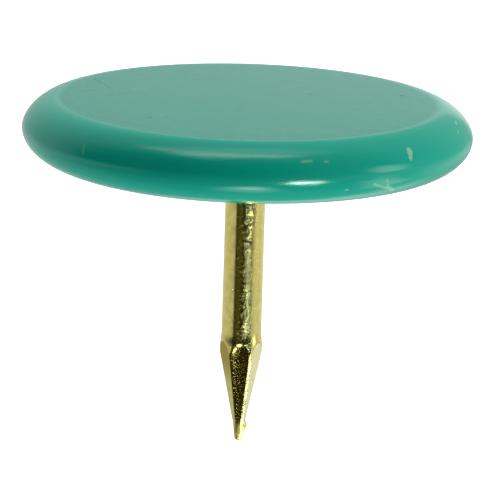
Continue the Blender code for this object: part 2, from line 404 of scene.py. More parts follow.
# Marks on the thumb face: x and y of each end, half width at each end, how plain it is.
DARK_FACE_MARKS = [
    ((-4.46, 2.45), (-3.92, 1.02), 0.045, 0.028, 0.30),
    ((-4.62, 0.52), (-4.36, 0.66), 0.060, 0.040, 0.40),
    ((-3.92, -0.12), (-3.80, -0.08), 0.040, 0.030, 0.40),
    ((-3.66, 0.04), (-3.54, 0.08), 0.035, 0.030, 0.35),
    ((-2.71, -2.96), (-2.67, -2.96), 0.045, 0.045, 0.60),
    ((1.70, 0.84), (1.78, 0.81), 0.045, 0.040, 0.55),
    ((4.32, 1.20), (4.37, 1.18), 0.055, 0.050, 1.00),
    ((2.66, -0.52), (2.80, -0.60), 0.025, 0.020, 0.30),
]
PALE_FACE_MARKS = [
    ((-3.30, 0.84), (-2.86, 0.94), 0.040, 0.034, 0.45),
    ((-2.38, -2.53), (-2.35, -2.53), 0.042, 0.042, 0.60),
    ((-2.48, -0.36), (-2.42, -0.40), 0.030, 0.025, 0.30),
    ((1.18, 1.75), (1.28, 1.79), 0.055, 0.040, 0.45),
    ((0.36, -5.12), (0.44, -5.10), 0.030, 0.030, 0.50),
]
# Fine scratches scattered over the face: how many, longest, half width, how plain, and the seed of the draw.
SCRATCH_COUNT, SCRATCH_LENGTH, SCRATCH_WIDTH, SCRATCH_SHARE, SCRATCH_SEED = 12, 1.6, 0.012, 0.22, 5


def rolled(inner, outer, share, power):
    """The radius on a roll, from the outer one where the share is 0 to the inner one where it is 1."""
    return inner + (outer - inner) * (1.0 - share ** power) ** (1.0 / power)


def rim_radius(height):
    """The rim's radius at a height, in metres, from the same rolls as its mesh."""
    if height > CREST_HEIGHT:
        share = (height - CREST_HEIGHT) / (HEAD_THICKNESS - CREST_HEIGHT)
        return rolled(FACE_RADIUS, HEAD_RADIUS, share, UPPER_ROLL_POWER)
    return rolled(SEAT_RADIUS, HEAD_RADIUS, 1.0 - height / CREST_HEIGHT, LOWER_ROLL_POWER)


def point_round(azimuth, radius, height):
    """A point at a distance from the Z axis."""
    turn = math.radians(azimuth)
    return Vector((radius * math.sin(turn), -radius * math.cos(turn), height))


def rim_point(azimuth, height):
    """A point on the rim, in millimetres."""
    return point_round(azimuth, rim_radius(height * MM) / MM, height)


def face_point(x, y):
    """A point on the thumb face, in millimetres."""
    crown = FACE_CROWN * (1.0 - (x * x + y * y) * (MM / FACE_RADIUS) ** 2) + FACE_ROLL_OFF
    return Vector((x, y, (HEAD_THICKNESS + crown) / MM))


def scattered_scratches():
    """Fine scratches at random places and angles on the thumb face."""
    draw = random.Random(SCRATCH_SEED)
    scratches = []
    for _ in range(SCRATCH_COUNT):
        reach = 0.9 * FACE_RADIUS / MM * math.sqrt(draw.random())
        place, turn = draw.uniform(0.0, math.tau), draw.uniform(0.0, math.tau)
        half = 0.5 * SCRATCH_LENGTH * draw.uniform(0.3, 1.0)
        x, y = reach * math.cos(place), reach * math.sin(place)
        across, along = half * math.cos(turn), half * math.sin(turn)
        start, end = (x - across, y - along), (x + across, y + along)
        share = SCRATCH_SHARE * draw.uniform(0.5, 1.0)
        scratches.append((start, end, SCRATCH_WIDTH, 0.5 * SCRATCH_WIDTH, share))
    return scratches


def marks_mask(tree, place, marks, point_on):
    """A mask of all the marks in a list, with ragged edges."""
    ragged = noise(tree, place, RAGGED_SCALE, RAGGED_DETAIL)
    uneven = maths(tree, "MULTIPLY_ADD", ragged, RAGGED_REACH, -0.5 * RAGGED_REACH)
    total = 0.0
    for start, end, start_width, end_width, share in marks:
        line = effect(tree, stroke, {"Place": place, "From": point_on(*start), "To": point_on(*end),
                                     "Start Width": start_width, "End Width": end_width})
        near = smooth_step(tree, maths(tree, "ADD", line["Distance"], uneven), 1.0, 0.45)
        total = maths(tree, "MAXIMUM", total, product(tree, near, share))
    return total


def new_material(name):
    material = bpy.data.materials.new(name)
    material.use_nodes = True
    return material, material.node_tree, material.node_tree.nodes["Principled BSDF"]


def own_place(tree):
    """The place on the piece, in millimetres."""
    return scaled(tree, tree.nodes.new("ShaderNodeTexCoord").outputs["Object"], 1.0 / MM)


def bumps(tree, height, shader):
    bump = add_node(tree, "ShaderNodeBump", {"Height": height, "Distance": MICRON, "Strength": 1.0})
    tree.links.new(bump.outputs[0], shader.inputs["Normal"])


def teal_plastic():
    """Glossy moulded plastic on the rim, fine satin with faint scratches and specks on the thumb face."""
    material, tree, shader = new_material("Teal plastic")
    place = own_place(tree)
    reach = vector_maths(tree, "LENGTH", level_part(tree, place))
    edge, top = FACE_RADIUS / MM, HEAD_THICKNESS / MM
    within = smooth_step(tree, reach, edge + SATIN_OUTER, edge + SATIN_INNER)
    above = smooth_step(tree, component(tree, place, "Z"), top + SATIN_LOW, top + SATIN_HIGH)
    face = product(tree, within, above)

    grain = grain_at(tree, place, *SCUFF_GRAIN)
    cloud = grain_at(tree, place, *CLOUD_GRAIN)
    turning = grain_at(tree, place, *TURNING_GRAIN)
    knocks = marks_mask(tree, place, RIM_MARKS, rim_point)
    dark = marks_mask(tree, place, DARK_FACE_MARKS + scattered_scratches(), face_point)
    pale = marks_mask(tree, place, PALE_FACE_MARKS, face_point)
    dust = specks_at(tree, place, *DUST)

    scuffs = maths(tree, "MULTIPLY_ADD", cloud["Height"], SCUFF_BY_CLOUD, SCUFF_START)
    scuffs = maths(tree, "MULTIPLY_ADD", grain["Height"], SCUFF_BY_GRAIN, scuffs, clamp=True)
    colour = mix_colour(tree, product(tree, face, scuffs), TEAL, SCUFFED_TEAL)
    colour = mix_colour(tree, product(tree, dust, DUST_SHARE), colour, DARK_SPECK)
    colour = mix_colour(tree, dark, colour, DARK_SPECK)
    colour = mix_colour(tree, maths(tree, "MAXIMUM", knocks, pale), colour, STRESSED_TEAL)
    tree.links.new(colour, shader.inputs["Base Color"])

    rough = mix_value(tree, face, RIM_ROUGHNESS, FACE_ROUGHNESS)
    rough = maths(tree, "MULTIPLY_ADD", cloud["Height"], CLOUD_ROUGHNESS, rough)
    rough = maths(tree, "MULTIPLY_ADD", maths(tree, "MAXIMUM", knocks, dark), KNOCK_ROUGHNESS, rough)
    tree.links.new(rough, shader.inputs["Roughness"])

    grain_height = maths(tree, "MULTIPLY_ADD", face, FACE_GRAIN_HEIGHT, GRAIN_HEIGHT)
    turning_height = product(tree, left_over(tree, face), TURNING_HEIGHT)
    height = product(tree, grain["Height"], grain_height)
    height = maths(tree, "MULTIPLY_ADD", cloud["Height"], CLOUD_HEIGHT, height)
    height = maths(tree, "MULTIPLY_ADD", turning["Height"], turning_height, height)
    bumps(tree, maths(tree, "MULTIPLY_ADD", knocks, KNOCK_HEIGHT, height), shader)
    shader.inputs["Specular IOR Level"].default_value = PLASTIC_SPECULAR
    return material


# Edges of the head that turn by more than this stay sharp.
SHARP_ANGLE = 50.0

head = grown_object("moulded_teal_head", moulded_head_tree(),
                    {"Material": teal_plastic(), "Steps": HEAD_STEPS, **HEAD_SIZES})
head.data.set_sharp_from_angle(angle=math.radians(SHARP_ANGLE))
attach(head, "root")
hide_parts("moulded_head")


# The pin is one length of steel wire under a thin coat of pale brass. Its top is upset into the anchor that
# the plastic holds. Toothed dies gripped it below that and left two rows of notches, and rough streaks in
# front and behind. Two pinching dies then cut the point: six flats with arched tops, and lands of flash.

PIN_TIP, PIN_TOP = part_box("pin")[0].z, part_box("pin")[1].z
ANCHOR_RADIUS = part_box("pin")[1].x
ANCHOR_BOTTOM = 0.00075
ANCHOR_EDGE = 0.0001
ANCHOR_FILLET = 0.00014
WIRE_RADIUS = 0.000565
POINT_FACETS = 6
TIP_RADIUS = 0.000125
TIP_BEVEL = 0.00009
NOSE_LENGTH = 0.00055
NOSE_RADIUS = 0.00018
POINT_LENGTH = 0.00243
SWELL = 0.000034
SWELL_TOP = 0.00325
SWELL_LENGTH = 0.00045
FLASH_HALF_WIDTH = 0.0000425
FLASH_PROUD = 0.000012
# A burr left beside the tip: its azimuth, half its angle, height above the tip, half length, how proud.
BURR_AZIMUTH, BURR_HALF_ANGLE = 75.0, 38.0
BURR_HEIGHT, BURR_HALF_LENGTH, BURR_PROUD = 0.00042, 0.00013, 0.000085
PARTING_AZIMUTH = 28.0
# The flash at the front corner leans to one side by this many degrees.
FLASH_LEAN = -6.0
# Above both lands the flash runs out on the round wire: how high, over what length, how proud.
FLASH_RUN_OUT, FLASH_FADE, FLASH_RISE = 0.00268, 0.00016, 0.000018
ARRIS_RADIUS = 0.000010
# Towards the tip the flats are rubbed round, between these heights above it.
ROUND_START, ROUND_END = 0.00075, 0.00030
# Below its arched top the front flat dips over the first length, and comes back over the second.
DISH_DEPTH, DISH_TOP, DISH_LENGTH = 0.000045, 0.000150, 0.00080
EDGE_ROWS, SHANK_ROWS, POINT_ROWS = 6, 260, 220
FACET_POINTS = 20
FACET_STEP = math.tau / POINT_FACETS


def soft_min(first, second, width):
    """The lower of two values, rounded over where they are within a width of each other."""
    blend = np.clip(0.5 + 0.5 * (second - first) / width, 0.0, 1.0)
    return second * (1.0 - blend) + first * blend - width * blend * (1.0 - blend)


def blank_radius(height):
    """The round wire before its point is cut, with the swelling that the dies push up."""
    share = np.clip((PIN_TIP + SWELL_TOP - height) / SWELL_LENGTH, 0.0, 1.0)
    return WIRE_RADIUS + SWELL * (0.5 - 0.5 * np.cos(math.pi * share))


def corner_radius(height):
    """How far the point's corners are from the axis: bevel, slow nose, then the long straight taper."""
    stops = [0.0, TIP_BEVEL, NOSE_LENGTH, POINT_LENGTH, 2.0 * POINT_LENGTH - NOSE_LENGTH]
    reach = [TIP_RADIUS - TIP_BEVEL, TIP_RADIUS, NOSE_RADIUS, WIRE_RADIUS, 2.0 * WIRE_RADIUS - NOSE_RADIUS]
    return np.interp(height - PIN_TIP, stops, reach)


def section_offsets(corner):
    """Distances aside from a corner, closer where the section turns. Corners 0 and 3 have the lands."""
    if corner % (POINT_FACETS // 2):
        return np.array([-4.0, -2.4, -1.2, 0.0, 1.2, 2.4, 4.0]) * ARRIS_RADIUS
    edge = FLASH_HALF_WIDTH
    half = np.array([0.35 * edge, 0.75 * edge, 0.95 * edge, 1.05 * edge, 1.3 * edge])
    return np.concatenate([-half[::-1], [0.0], half])


def section_angles(reach):
    """Angles round one section from the first parting corner, for corners that reach so far out."""
    held = max(reach, NOSE_RADIUS)
    turns = []
    for corner in range(POINT_FACETS):
        turns.append(corner * FACET_STEP + section_offsets(corner) / held)
        start = corner * FACET_STEP + section_offsets(corner)[-1] / held
        end = (corner + 1) * FACET_STEP + section_offsets(corner + 1)[0] / held
        turns.append(np.linspace(start, end, FACET_POINTS + 2)[1:-1])
    return np.concatenate(turns)


def either_side(turns, span):
    """Angles measured from the nearest of the directions that lie a span apart."""
    return np.mod(turns + 0.5 * span, span) - 0.5 * span


def six_flats(within, reach):
    """The flats that the dies press, slightly rounded where two meet."""
    flat = reach * math.cos(0.5 * FACET_STEP)
    near = flat / np.cos(within)
    beside = flat / np.maximum(np.cos(np.abs(within) - FACET_STEP), 0.1)
    return soft_min(near, beside, 2.0 * ARRIS_RADIUS)


def front_dish(turns, within, cut):
    """How deep the front flat dips. Cut is how far the flats lie below the round blank."""
    below_arch = np.maximum(cut, 0.0) * (POINT_LENGTH - NOSE_LENGTH) / (WIRE_RADIUS - NOSE_RADIUS)
    dip = soft_min(below_arch / DISH_TOP, np.ones_like(turns), 0.2)
    across = (1.0 - (within / (0.5 * FACET_STEP)) ** 2) ** 2
    in_front = np.floor(np.mod(turns, math.tau) / FACET_STEP) == POINT_FACETS - 1
    return np.where(in_front, DISH_DEPTH * dip * np.exp(-below_arch / DISH_LENGTH) * across, 0.0)


def flash_land(turns, reach):
    """The narrow lands down the two parting corners, and 0 elsewhere. The front one leans."""
    lean = np.where(np.abs(either_side(turns, math.tau)) < 0.5 * FACET_STEP, math.radians(FLASH_LEAN), 0.0)
    aside = either_side(turns, math.pi)
    edge = FLASH_HALF_WIDTH / np.maximum(np.sin(np.abs(aside)), 1e-6)
    land = np.minimum((reach + FLASH_PROUD) * np.cos(lean) / np.cos(aside - lean), edge)
    return np.where(np.abs(aside) < 0.5 * FACET_STEP, land, 0.0)


def burr(turns, height):
    """How far the burr beside the tip stands out."""
    aside = np.degrees(either_side(turns + math.radians(PARTING_AZIMUTH - BURR_AZIMUTH), math.tau))
    along = (height - PIN_TIP - BURR_HEIGHT) / BURR_HALF_LENGTH
    return BURR_PROUD * np.exp(-(aside / BURR_HALF_ANGLE) ** 2 - along ** 2)


def ring(radius, turns, height):
    """Points at these radii and angles from the first parting corner, all at one height."""
    azimuth = math.radians(PARTING_AZIMUTH) + turns
    return np.stack([radius * np.sin(azimuth), -radius * np.cos(azimuth), np.full_like(azimuth, height)], 1)


def pin_section(height):
    """One ring of points round the pin below the head."""
    reach = corner_radius(height)
    turns = section_angles(min(reach, WIRE_RADIUS))
    within = np.mod(turns, FACET_STEP) - 0.5 * FACET_STEP
    die = six_flats(within, reach)
    blank = blank_radius(height)
    die = die - front_dish(turns, within, blank - die)
    rubbed = np.clip((PIN_TIP + ROUND_START - height) / (ROUND_START - ROUND_END), 0.0, 1.0)
    round_radius = reach * math.sqrt(math.cos(0.5 * FACET_STEP))
    die = die + (round_radius - die) * rubbed * rubbed * (3.0 - 2.0 * rubbed)
    die = np.maximum(die, flash_land(turns, reach)) + burr(turns, height)
    fade = np.clip((PIN_TIP + FLASH_RUN_OUT + FLASH_FADE - height) / FLASH_FADE, 0.0, 1.0)
    from_land = either_side(turns, math.pi) * WIRE_RADIUS / FLASH_HALF_WIDTH
    blank = blank + FLASH_RISE * fade * np.exp(-from_land ** 2)
    return ring(soft_min(blank, die, ARRIS_RADIUS), turns, height)


def quarter_arc(start, end, rows, level_start=True):
    """Radius and height along a quarter ellipse, level or upright at its start."""
    share = np.linspace(0.0, 0.5 * math.pi, rows)
    rising, falling = np.sin(share), 1.0 - np.cos(share)
    across, down = (rising, falling) if level_start else (falling, rising)
    radii = start[0] + (end[0] - start[0]) * across
    heights = start[1] + (end[1] - start[1]) * down
    return list(zip(radii, heights))


def pin_rings():
    """All rings from the anchor's top down to the tip."""
    inner, bottom = ANCHOR_RADIUS - ANCHOR_EDGE, ANCHOR_BOTTOM
    shank_top = bottom - ANCHOR_FILLET
    anchor = [(share * inner, PIN_TOP) for share in (0.02, 0.5)]
    anchor += quarter_arc((inner, PIN_TOP), (ANCHOR_RADIUS, PIN_TOP - ANCHOR_EDGE), EDGE_ROWS)
    anchor += quarter_arc((ANCHOR_RADIUS, bottom + ANCHOR_EDGE), (inner, bottom), EDGE_ROWS, False)
    anchor += quarter_arc((WIRE_RADIUS + ANCHOR_FILLET, bottom), (WIRE_RADIUS, shank_top), EDGE_ROWS + 1)
    turns = section_angles(WIRE_RADIUS)
    rings = [ring(radius, turns, height) for radius, height in anchor]
    shoulder, nose = PIN_TIP + SWELL_TOP, PIN_TIP + TIP_BEVEL
    shank = np.linspace(shank_top, shoulder, SHANK_ROWS)[1:]
    point = np.linspace(shoulder, nose, POINT_ROWS)[1:]
    rings += [pin_section(height) for height in (*shank, *point)]
    for share in np.linspace(0.0, 0.5 * math.pi, EDGE_ROWS)[1:]:
        last = pin_section(nose)
        last[:, :2] *= 1.0 - (1.0 - math.cos(share)) * TIP_BEVEL / TIP_RADIUS
        last[:, 2] -= TIP_BEVEL * math.sin(share)
        rings.append(last)
    return np.array(rings)


# How far below the round blank each place on the pin lies.
CUT_ATTRIBUTE = "cut"


def lofted_mesh(name, rings):
    """Skins a stack of rings, listed downwards, and closes both ends on their middles."""
    count, around = rings.shape[:2]
    points = np.concatenate([rings.reshape(-1, 3), rings[:1].mean(axis=1), rings[-1:].mean(axis=1)])
    index = np.arange(count * around).reshape(count, around)
    following = np.roll(index, -1, axis=1)
    faces = np.stack([index[:-1], index[1:], following[1:], following[:-1]], -1).reshape(-1, 4).tolist()
    top, bottom = count * around, count * around + 1
    faces += [(top, a, b) for a, b in zip(index[0].tolist(), following[0].tolist())]
    faces += [(bottom, b, a) for a, b in zip(index[-1].tolist(), following[-1].tolist())]
    mesh = bpy.data.meshes.new(name)
    mesh.from_pydata(points.tolist(), [], faces)
    mesh.update()
    cut = mesh.attributes.new(CUT_ATTRIBUTE, "FLOAT", "POINT")
    cut.data.foreach_set("value", blank_radius(points[:, 2]) - np.hypot(points[:, 0], points[:, 1]))
    return mesh


# The dies' teeth leave a row of marks down each side. They get shallower, and the row would run out after
# this many times its number.
MARK_COUNT = 11
MARK_FADE = 1.3
# Torn grain down the front and the back of the shank, deeper than the grain all over it.
STREAK_AZIMUTH = 11.0
STREAK_HALF_ANGLE = 22.0
STREAK_CORE_ANGLE = 8.0
GRIP_SIZES = {
    "Wire Radius": WIRE_RADIUS, "Mark Pitch": 0.000138, "Mark Depth": 0.000017, "First Mark": 0.0002,
    "Grip Azimuth": PARTING_AZIMUTH, "Streak Azimuth": STREAK_AZIMUTH,
    "Streak Half Angle": STREAK_HALF_ANGLE, "Streak Depth": 0.0000030, "Streak Grain": 0.00008,
    "Shank Depth": 0.0000006, "Shank End": PIN_TIP + SWELL_TOP}


def gripped_wire_tree():
    """Presses the two rows of teeth into the wire, then roughens it, most where the dies tore it."""
    tree, given, result = piece_tree("Gripped wire", "Mark Count", GRIP_SIZES)
    place = add_node(tree, "GeometryNodeInputPosition").outputs[0]
    height = component(tree, place, "Z")

    def outward(azimuth):
        """The level direction at an azimuth."""
        angle = maths(tree, "RADIANS", azimuth)
        back = product(tree, maths(tree, "COSINE", angle), -1.0)
        return combined(tree, X=maths(tree, "SINE", angle), Y=back)

    drop = maths(tree, "SUBTRACT", product(tree, height, -1.0), given["First Mark"])
    tooth = maths(tree, "ADD", maths(tree, "DIVIDE", drop, given["Mark Pitch"]), 0.5)
    off_centre = maths(tree, "MULTIPLY_ADD", maths(tree, "FRACT", tooth), 2.0, -1.0)
    bite = left_over(tree, maths(tree, "ABSOLUTE", off_centre))
    run_out = product(tree, given["Mark Count"], MARK_FADE)
    fade = left_over(tree, maths(tree, "DIVIDE", tooth, run_out))
    in_comb = product(tree, maths(tree, "GREATER_THAN", tooth, 0.0),
                      maths(tree, "LESS_THAN", tooth, given["Mark Count"]))
    pressed = product(tree, bite, fade, in_comb)
    depth = product(tree, pressed, given["Mark Depth"])
    comb = maths(tree, "SUBTRACT", given["Wire Radius"], depth)
    grip = outward(given["Grip Azimuth"])
    along = vector_maths(tree, "DOT_PRODUCT", place, grip)
    over = maths(tree, "MAXIMUM", maths(tree, "SUBTRACT", maths(tree, "ABSOLUTE", along), comb), 0.0)
    over = product(tree, over, maths(tree, "GREATER_THAN", pressed, 0.0))
    inward = product(tree, maths(tree, "SIGN", along), -1.0)
    push = scaled(tree, grip, product(tree, over, inward))
    marked = moved(tree, given["Geometry"], Offset=push)

    reach = vector_maths(tree, "LENGTH", level_part(tree, place))
    facing = vector_maths(tree, "DOT_PRODUCT", place, outward(given["Streak Azimuth"]))
    cosine = maths(tree, "DIVIDE", maths(tree, "ABSOLUTE", facing), maths(tree, "MAXIMUM", reach, MICRON))
    edge = maths(tree, "COSINE", maths(tree, "RADIANS", given["Streak Half Angle"]))
    streak = smooth_step(tree, cosine, edge, 1.0)
    grain_scale = maths(tree, "DIVIDE", 1.0, given["Streak Grain"])
    uneven = noise(tree, place, grain_scale, GRAIN_DETAIL, GRAIN_ROUGHNESS)
    amount = maths(tree, "MULTIPLY_ADD", streak, given["Streak Depth"], given["Shank Depth"])
    on_shank = product(tree, maths(tree, "LESS_THAN", height, 0.0),
                       maths(tree, "GREATER_THAN", height, given["Shank End"]))
    shift = product(tree, maths(tree, "MULTIPLY_ADD", uneven, 2.0, -1.0), amount, on_shank)
    grain = scaled(tree, add_node(tree, "GeometryNodeInputNormal").outputs[0], shift)
    finish_tree(tree, moved(tree, marked, Offset=grain), result)
    return tree


BRASS = (0.820, 0.730, 0.235, 1.0)
DULL_BRASS = (0.620, 0.540, 0.150, 1.0)
PIT_BROWN = (0.180, 0.140, 0.050, 1.0)
TORN_BRASS = (0.430, 0.460, 0.200, 1.0)
TORN_DARK = (0.200, 0.220, 0.090, 1.0)
# How much of each shows: dull patches, torn streak, bright specks painted as glints on the front flat, torn
# pits and fine pits.
DULL_SHARE, STREAK_SHARE, BRIGHT_SPECK_SHARE, TORN_SHARE, PIT_SHARE = 0.35, 0.85, 0.32, 0.50, 0.15
# Roughness, and what is added to it in patches, in pits, and at most on the streak, the bright specks and
# tip.
BRASS_ROUGHNESS, PATCH_ROUGHNESS, PIT_ROUGHNESS = 0.15, 0.08, 0.15
STREAK_ROUGHNESS, BRIGHT_SPECK_ROUGHNESS, TIP_ROUGHNESS = 0.05, 0.10, 0.30
# The torn streak turns from dark to brass between these heights of the grain.
LUMP_LOW, LUMP_HIGH = 0.42, 0.60
# The front flat has this much of the streak's coarse grain.
SCORED_COARSENESS = 0.25
WIRE_GRAIN = (0.028, (1.0, 1.0, 0.8))
DRAWN_GRAIN = (0.030, (1.0, 1.0, 0.08))
# Specks: spacing, size and the part of the places with one.
PITS = (0.075, 0.022, 0.35)
TORN_PITS = (0.055, 0.028, 0.50)
BRIGHT_SPECKS = (0.042, 0.022, 0.45)
# Bumps: grain all over, more of it where it is coarse, drawing lines, both kinds of pits, and dents.
WIRE_GRAIN_HEIGHT, COARSE_GRAIN_HEIGHT, DRAWN_HEIGHT = 0.5, 0.8, 0.3
PIT_HEIGHT, TORN_HEIGHT, DENT_HEIGHT = -0.8, -2.2, -9.0
# The flats of the point are tinted by the side they face, as painted light and shade. The one in front is
# scored and darkened as painted shade, the left one is a darker brown as painted shade, and the right one is
# paler as a painted sheen. Each has an azimuth, a colour and how much of it shows.
SCORED_SHADED_FLAT = (-2.0, (0.130, 0.120, 0.020, 1.0), 0.88)
LEFT_SHADED_FLAT = (-62.0, (0.450, 0.345, 0.020, 1.0), 0.97)
RIGHT_SHEEN_FLAT = (58.0, (0.860, 0.850, 0.460, 1.0), 0.95)
FLAT_INNER_ANGLE, FLAT_OUTER_ANGLE = 25.0, 34.0
# Where a flat meets the round wire the plating has cracked, and shows brown.
CRACK_BROWN, CRACK_SHARE = (0.480, 0.260, 0.050, 1.0), 0.6
# How far below the round blank these start and are full: the flats, the scoring with its painted shade, and
# the two sides of the cracked edge.
FLAT_CUT, SCORED_SHADE_CUT = (0.002, 0.014), (0.046, 0.062)
CRACK_CUT, UNCRACKED_CUT = (0.001, 0.004), (0.013, 0.007)
# At these heights above the tip, the front flat's scoring and painted shade and the left flat's painted shade
# start and are full, whatever the depth.
SCORED_SHADE_HEIGHTS, LEFT_SHADE_HEIGHTS = (2.93, 2.85), (1.50, 2.50)
# Smooth dents at the lower end of the comb, which catch the light: azimuth and height of each end, half
# width at each end, how plain it is.
WIRE_DENTS = [
    ((17.5, -1.30), (17.5, -1.37), 0.055, 0.070, 1.00),
    ((15.0, -1.745), (19.5, -1.745), 0.038, 0.050, 0.90),
    ((18.5, -1.93), (19.5, -1.96), 0.040, 0.034, 0.80),
]


def wire_point(azimuth, height):
    """A point on the wire, in millimetres."""
    return point_round(azimuth, WIRE_RADIUS / MM, height)


def towards(tree, direction, goal, inner, outer):
    """A mask that is 1 where a direction points at a goal, and fades out between two angles from it."""
    facing = vector_maths(tree, "DOT_PRODUCT", direction, goal)
    return smooth_step(tree, facing, math.cos(math.radians(outer)), math.cos(math.radians(inner)))


def brass_plating():
    """Thin bright plating over drawn wire, pitted all over, with torn grain in two streaks and painted light
    and shade on the flats.
    """
    material, tree, shader = new_material("Brass plating")
    place = own_place(tree)
    level = vector_maths(tree, "NORMALIZE", level_part(tree, place))
    above_tip = maths(tree, "SUBTRACT", component(tree, place, "Z"), PIN_TIP / MM)
    cut = add_node(tree, "ShaderNodeAttribute", attribute_name=CUT_ATTRIBUTE).outputs["Fac"]

    def facing(azimuth, inner, outer):
        """A mask of the side that faces an azimuth."""
        return towards(tree, level, point_round(azimuth, 1.0, 0.0), inner, outer)

    def cut_from(depths):
        """A mask that starts and is full at two depths below the round blank."""
        return smooth_step(tree, cut, depths[0] * MM, depths[1] * MM)

    on_point = cut_from(FLAT_CUT)
    streaks = maths(tree, "MAXIMUM", facing(STREAK_AZIMUTH, STREAK_CORE_ANGLE, STREAK_HALF_ANGLE),
                    facing(STREAK_AZIMUTH + 180.0, STREAK_CORE_ANGLE, STREAK_HALF_ANGLE))
    streaks = product(tree, streaks, left_over(tree, on_point))
    off_tip = smooth_step(tree, above_tip, ROUND_END / MM, ROUND_START / MM)
    scored_shade_from = maths(tree, "MAXIMUM", cut_from(SCORED_SHADE_CUT), smooth_step(tree, above_tip, *SCORED_SHADE_HEIGHTS))
    left_shade_from = smooth_step(tree, above_tip, *LEFT_SHADE_HEIGHTS)
    # The flats are tinted by the side they face: painted shade on the front and left ones, a painted sheen on
    # the right.
    flats = []
    for start, (azimuth, tint, share) in ((scored_shade_from, SCORED_SHADED_FLAT), (left_shade_from, LEFT_SHADED_FLAT),
                                          (1.0, RIGHT_SHEEN_FLAT)):
        side = facing(azimuth, FLAT_INNER_ANGLE, FLAT_OUTER_ANGLE)
        flats.append((product(tree, side, start, on_point, off_tip), tint, share))
    scored_shade = flats[0][0]
    coarse = maths(tree, "MAXIMUM", streaks, product(tree, scored_shade, SCORED_COARSENESS))
    grain = grain_at(tree, place, *WIRE_GRAIN)
    drawn = grain_at(tree, place, *DRAWN_GRAIN)
    pits = specks_at(tree, place, *PITS)
    torn = product(tree, specks_at(tree, place, *TORN_PITS), coarse)
    bright_specks = product(tree, scored_shade, specks_at(tree, place, *BRIGHT_SPECKS))
    dents = marks_mask(tree, place, WIRE_DENTS, wire_point)

    colour = mix_colour(tree, product(tree, grain["Patches"], DULL_SHARE), BRASS, DULL_BRASS)
    lumps = mix_colour(tree, smooth_step(tree, grain["Height"], LUMP_LOW, LUMP_HIGH), TORN_DARK, TORN_BRASS)
    colour = mix_colour(tree, product(tree, streaks, STREAK_SHARE), colour, lumps)
    # Painted light and shade on the point's flats.
    for flat, tint, share in flats:
        colour = mix_colour(tree, product(tree, flat, share), colour, tint)
    # Bright specks of plain brass through the front flat's painted shade, as painted glints.
    colour = mix_colour(tree, product(tree, bright_specks, BRIGHT_SPECK_SHARE), colour, BRASS)
    cracked = product(tree, cut_from(CRACK_CUT), cut_from(UNCRACKED_CUT), CRACK_SHARE)
    colour = mix_colour(tree, cracked, colour, CRACK_BROWN)
    pitted = product(tree, pits, PIT_SHARE)
    pitted = maths(tree, "MULTIPLY_ADD", torn, TORN_SHARE, pitted, clamp=True)
    colour = mix_colour(tree, pitted, colour, PIT_BROWN)
    tree.links.new(mix_colour(tree, dents, colour, BRASS), shader.inputs["Base Color"])

    rough = maths(tree, "MULTIPLY_ADD", grain["Patches"], PATCH_ROUGHNESS, BRASS_ROUGHNESS)
    rough = maths(tree, "MULTIPLY_ADD", pits, PIT_ROUGHNESS, rough)
    dull = product(tree, streaks, STREAK_ROUGHNESS)
    dull = maths(tree, "MAXIMUM", dull, product(tree, bright_specks, BRIGHT_SPECK_ROUGHNESS))
    dull = maths(tree, "MAXIMUM", dull, product(tree, left_over(tree, off_tip), TIP_ROUGHNESS))
    tree.links.new(maths(tree, "ADD", rough, dull), shader.inputs["Roughness"])

    grain_height = maths(tree, "MULTIPLY_ADD", coarse, COARSE_GRAIN_HEIGHT, WIRE_GRAIN_HEIGHT)
    height = product(tree, grain["Height"], grain_height)
    for form, tall in ((drawn["Height"], DRAWN_HEIGHT), (pits, PIT_HEIGHT), (torn, TORN_HEIGHT),
                       (dents, DENT_HEIGHT)):
        height = maths(tree, "MULTIPLY_ADD", form, tall, height)
    bumps(tree, height, shader)
    shader.inputs["Metallic"].default_value = 1.0
    return material


pin = grown_object("brass_plated_pin", gripped_wire_tree(),
                   {"Material": brass_plating(), "Mark Count": MARK_COUNT, **GRIP_SIZES},
                   base=lofted_mesh("brass_plated_pin", pin_rings()))
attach(pin, "root")
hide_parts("pin")


# The tack is shown in the air over a white table, far enough above it for the table to show no shadow
# close by. The studio round it is white and soft, with a dark opening where the camera stands.

TABLE_DROP = 0.040
TABLE_SIZE = 1.2
TABLE_WHITE = (0.80, 0.80, 0.80, 1.0)
TABLE_ROUGHNESS = 0.9
TABLE_GLOW = 0.6
WHITE = (1.0, 1.0, 1.0, 1.0)


def make_table():
    half = 0.5 * TABLE_SIZE
    mesh = bpy.data.meshes.new("table")
    height = cad_low.z - TABLE_DROP
    corners = [(x * half, y * half, height) for x, y in ((-1, -1), (1, -1), (1, 1), (-1, 1))]
    mesh.from_pydata(corners, [], [(0, 1, 2, 3)])
    table = placed("table", mesh)
    material, tree, shader = new_material("White table")
    shader.inputs["Base Color"].default_value = TABLE_WHITE
    shader.inputs["Roughness"].default_value = TABLE_ROUGHNESS
    shader.inputs["Emission Color"].default_value = WHITE
    seen = tree.nodes.new("ShaderNodeLightPath").outputs["Is Camera Ray"]
    tree.links.new(product(tree, seen, TABLE_GLOW), shader.inputs["Emission Strength"])
    mesh.materials.append(material)
    table.visible_glossy = False
    table.visible_diffuse = False


